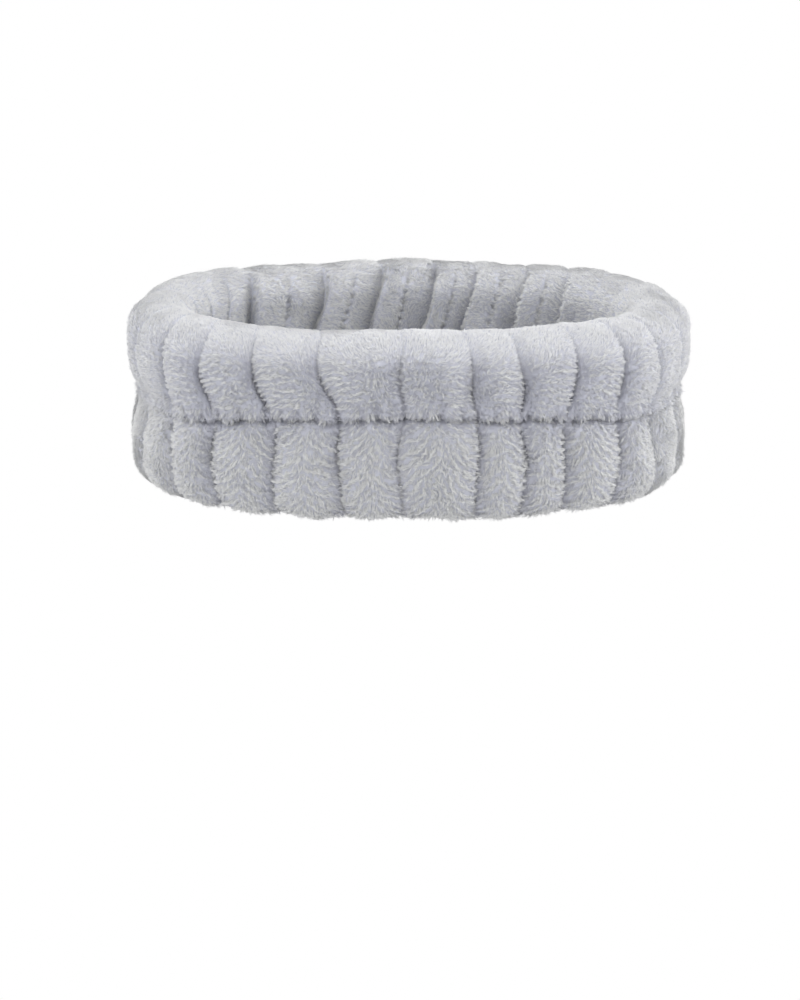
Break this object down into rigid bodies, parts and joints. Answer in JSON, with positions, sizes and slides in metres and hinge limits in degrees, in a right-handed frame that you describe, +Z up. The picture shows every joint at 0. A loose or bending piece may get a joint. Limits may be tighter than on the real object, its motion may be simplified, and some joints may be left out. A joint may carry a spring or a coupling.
{
  "type": "spa headband",
  "caption": "Elastic spa headband: a gathered fleece tube over two padded lobes, drawn in at the waist, lying as an oval ring that stretches open.",
  "frame": {"origin": "centre of the oval, at the level of the lower rim that the band rests on", "axes": "+X along the length of the oval, +Y from the front to the back, which is the way it stretches open, +Z up through the opening"},
  "size_m": [0.225, 0.1308, 0.076],
  "materials": {
    "fleece": "deep soft pile",
    "wadding": "carded fibre",
    "elastic": "ribbed weave",
    "thread": "twisted thread"
  },
  "bodies": {
    "front_half": {"cover_front": "fleece", "upper_wadding_front": "wadding", "lower_wadding_front": "wadding", "elastic_front": "elastic", "gather_thread_outer_front": "thread", "gather_thread_inner_front": "thread", "closing_seam_front": "thread"},
    "back_half": {"cover_back": "fleece", "upper_wadding_back": "wadding", "lower_wadding_back": "wadding", "elastic_back": "elastic", "gather_thread_outer_back": "thread", "gather_thread_inner_back": "thread", "closing_seam_back": "thread", "elastic_lap_stitches": "thread", "end_seam": "thread"}
  },
  "joints": [
    {"name": "stretch", "type": "slide", "parent": "front_half", "child": "back_half", "axis": [0, 1, 0], "range_m": [0, 0.095], "stiffness_N_per_m": 75}
  ]
}
